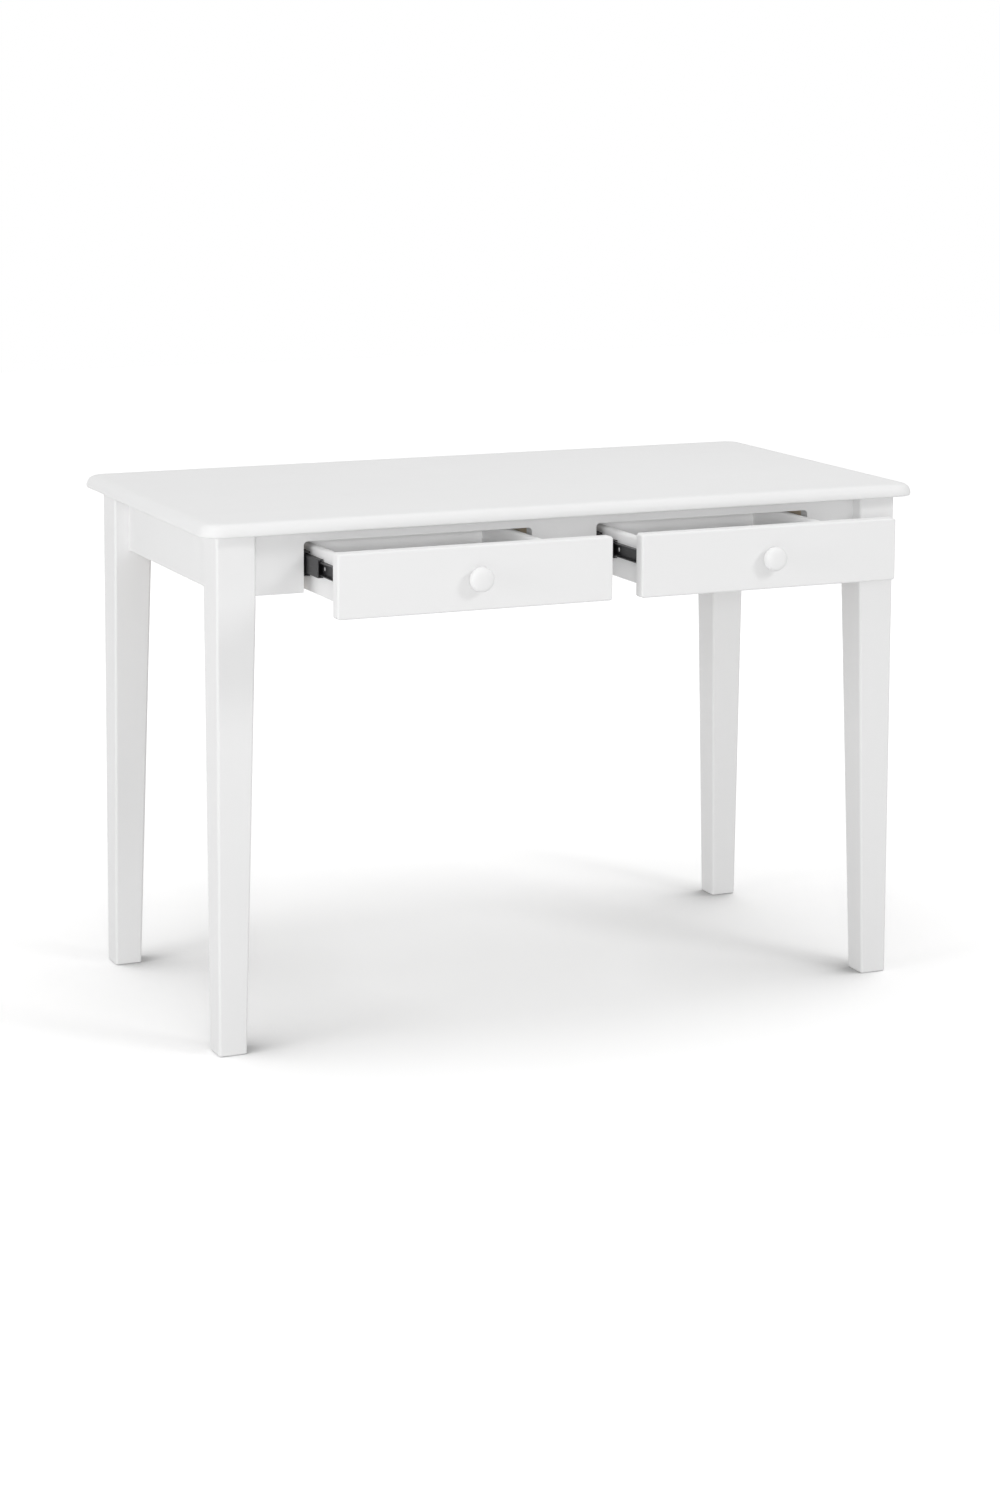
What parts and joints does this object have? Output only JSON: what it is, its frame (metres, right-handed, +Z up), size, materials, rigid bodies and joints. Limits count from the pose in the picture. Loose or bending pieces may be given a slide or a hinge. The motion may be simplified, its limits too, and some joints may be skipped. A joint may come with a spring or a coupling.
{
  "type": "writing desk",
  "caption": "White lacquered writing desk with tapered square legs, a moulded top edge, recessed aprons and round-knobbed drawers on ball-bearing slides, shown part open",
  "frame": {"origin": "On the floor, under the middle of the whole box with the drawers open as in the picture.", "axes": "X to the right seen from the front, Y to the back, Z up; the drawers open along -Y."},
  "size_m": [1.14, 0.771, 0.765],
  "materials": {
    "white_lacquer": "satin white lacquer on wood",
    "drawer_box_white": "satin white paint on plywood",
    "plain_wood": "planed and unpainted",
    "black_steel": "black e-coated sheet steel",
    "retainer_black": "moulded black",
    "zinc_steel": "zinc plated"
  },
  "bodies": {
    "frame": {"apron_dowels": "plain_wood", "bolt_nuts": "zinc_steel", "bolt_washers": "zinc_steel", "bracket_screws": "zinc_steel", "corner_block_front_left": "plain_wood", "corner_block_front_right": "plain_wood", "corner_block_rear_left": "plain_wood", "corner_block_rear_right": "plain_wood", "front_apron": "white_lacquer", "hanger_bolts": "zinc_steel", "left_drawer_rail_left": "plain_wood", "left_drawer_rail_right": "plain_wood", "left_slide_cabinet_left": "black_steel", "left_slide_cabinet_right": "black_steel", "leg_front_left": "white_lacquer", "leg_front_right": "white_lacquer", "leg_rear_left": "white_lacquer", "leg_rear_right": "white_lacquer", "rear_apron": "white_lacquer", "right_drawer_rail_left": "plain_wood", "right_drawer_rail_right": "plain_wood", "right_slide_cabinet_left": "black_steel", "right_slide_cabinet_right": "black_steel", "side_apron_left": "white_lacquer", "side_apron_right": "white_lacquer", "slide_rail_screws": "zinc_steel", "table_top": "white_lacquer", "top_brackets": "zinc_steel"},
    "left_drawer": {"left_drawer_bottom": "drawer_box_white", "left_drawer_box_front": "drawer_box_white", "left_drawer_front": "white_lacquer", "left_drawer_rear": "drawer_box_white", "left_drawer_side_left": "drawer_box_white", "left_drawer_side_right": "drawer_box_white", "left_front_screws": "zinc_steel", "left_knob": "white_lacquer", "left_knob_screw": "zinc_steel", "left_slide_drawer_left": "black_steel", "left_slide_drawer_right": "black_steel", "left_slide_drawer_screws": "zinc_steel"},
    "left_inner_retainers": {"left_slide_inner_retainers": "retainer_black"},
    "left_middle_left": {"left_slide_middle_left": "black_steel"},
    "left_middle_right": {"left_slide_middle_right": "black_steel"},
    "left_outer_retainers": {"left_slide_outer_retainers": "retainer_black"},
    "right_drawer": {"right_drawer_bottom": "drawer_box_white", "right_drawer_box_front": "drawer_box_white", "right_drawer_front": "white_lacquer", "right_drawer_rear": "drawer_box_white", "right_drawer_side_left": "drawer_box_white", "right_drawer_side_right": "drawer_box_white", "right_front_screws": "zinc_steel", "right_knob": "white_lacquer", "right_knob_screw": "zinc_steel", "right_slide_drawer_left": "black_steel", "right_slide_drawer_right": "black_steel", "right_slide_drawer_screws": "zinc_steel"},
    "right_inner_retainers": {"right_slide_inner_retainers": "retainer_black"},
    "right_middle_left": {"right_slide_middle_left": "black_steel"},
    "right_middle_right": {"right_slide_middle_right": "black_steel"},
    "right_outer_retainers": {"right_slide_outer_retainers": "retainer_black"}
  },
  "joints": [
    {"name": "left_drawer_slide", "type": "slide", "parent": "frame", "child": "left_drawer", "axis": [0, -1, 0], "range_m": [-0.192, 0.113]},
    {"name": "left_middle_left_slide", "type": "slide", "parent": "frame", "child": "left_middle_left", "axis": [0, -1, 0], "range_m": [-0.096, 0.0565]},
    {"name": "left_middle_right_slide", "type": "slide", "parent": "frame", "child": "left_middle_right", "axis": [0, -1, 0], "range_m": [-0.096, 0.0565]},
    {"name": "left_outer_retainers_slide", "type": "slide", "parent": "frame", "child": "left_outer_retainers", "axis": [0, -1, 0], "range_m": [-0.048, 0.02825]},
    {"name": "left_inner_retainers_slide", "type": "slide", "parent": "frame", "child": "left_inner_retainers", "axis": [0, -1, 0], "range_m": [-0.144, 0.08475]},
    {"name": "right_drawer_slide", "type": "slide", "parent": "frame", "child": "right_drawer", "axis": [0, -1, 0], "range_m": [-0.192, 0.113]},
    {"name": "right_middle_left_slide", "type": "slide", "parent": "frame", "child": "right_middle_left", "axis": [0, -1, 0], "range_m": [-0.096, 0.0565]},
    {"name": "right_middle_right_slide", "type": "slide", "parent": "frame", "child": "right_middle_right", "axis": [0, -1, 0], "range_m": [-0.096, 0.0565]},
    {"name": "right_outer_retainers_slide", "type": "slide", "parent": "frame", "child": "right_outer_retainers", "axis": [0, -1, 0], "range_m": [-0.048, 0.02825]},
    {"name": "right_inner_retainers_slide", "type": "slide", "parent": "frame", "child": "right_inner_retainers", "axis": [0, -1, 0], "range_m": [-0.144, 0.08475]}
  ],
  "couplings": [
    {"joint": "left_middle_left_slide", "follows": "left_drawer_slide", "ratio": 0.5},
    {"joint": "left_middle_right_slide", "follows": "left_drawer_slide", "ratio": 0.5},
    {"joint": "left_outer_retainers_slide", "follows": "left_drawer_slide", "ratio": 0.25},
    {"joint": "left_inner_retainers_slide", "follows": "left_drawer_slide", "ratio": 0.75},
    {"joint": "right_middle_left_slide", "follows": "right_drawer_slide", "ratio": 0.5},
    {"joint": "right_middle_right_slide", "follows": "right_drawer_slide", "ratio": 0.5},
    {"joint": "right_outer_retainers_slide", "follows": "right_drawer_slide", "ratio": 0.25},
    {"joint": "right_inner_retainers_slide", "follows": "right_drawer_slide", "ratio": 0.75}
  ]
}
